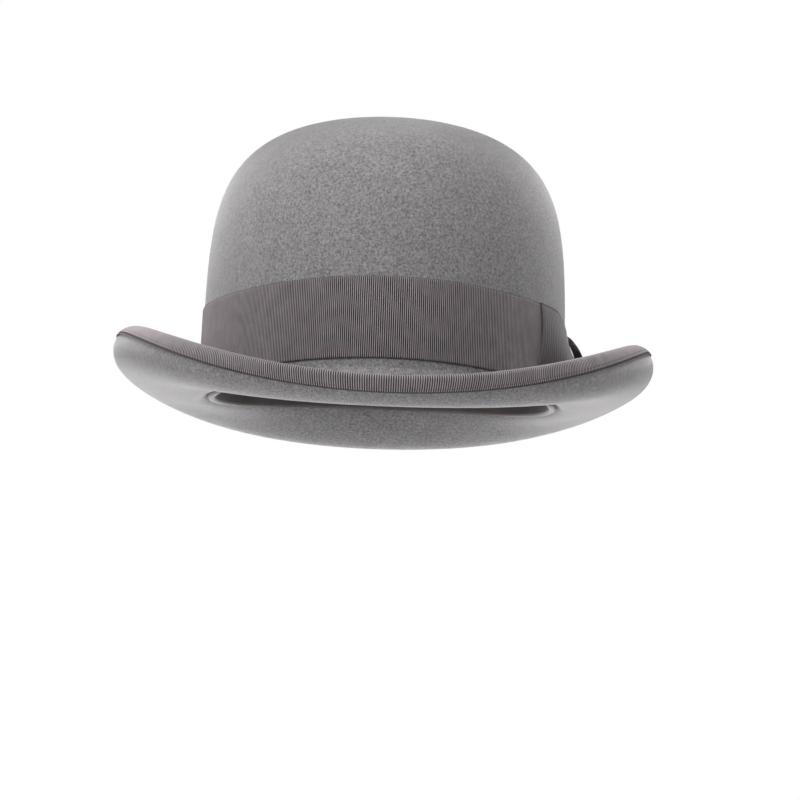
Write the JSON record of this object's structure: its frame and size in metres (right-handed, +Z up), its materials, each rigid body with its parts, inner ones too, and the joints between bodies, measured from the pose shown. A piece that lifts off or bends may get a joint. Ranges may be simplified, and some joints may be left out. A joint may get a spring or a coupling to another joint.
{
  "type": "bowler hat",
  "caption": "Bowler hat: round stiff felt crown, brim bound in ribbon and rolled up at the sides, ribbon band with a flat side bow, leather sweatband and satin lining.",
  "frame": {"origin": "middle of the hat's footprint, on the flat surface that the front and back of the brim rest on", "axes": "+Z up through the crown; -Y is the front of the hat; +X is the wearer's left, where the bow is"},
  "size_m": [0.2596, 0.2928, 0.147],
  "materials": {
    "felt": "mid grey stiffened wool felt, matt, with a short nap",
    "ribbon": "dark warm grey grosgrain ribbon with fine cross ribs and a slight sheen",
    "thread": "dark grey sewing thread",
    "sweatband_leather": "dark grey smooth leather, satin",
    "reed": "plain extruded plastic cord",
    "tape": "woven cotton tape",
    "label": "blank woven tab",
    "lining_satin": "grey satin lining",
    "lining_piping": "corded satin piping",
    "tip_shield": "thin clear plastic sheet"
  },
  "bodies": {
    "root": {"felt_body": "felt", "brim_binding": "ribbon", "binding_stitch_top": "thread", "binding_stitch_under": "thread", "hat_band": "ribbon", "bow_loops": "ribbon", "bow_knot": "ribbon", "sweatband": "sweatband_leather", "sweatband_reed": "reed", "sweatband_stitch": "thread", "reed_tape": "tape", "sweatband_bow": "ribbon", "size_label": "label", "lining_side": "lining_satin", "lining_tip": "lining_satin", "lining_piping": "lining_piping", "tip_shield": "tip_shield"}
  },
  "joints": []
}
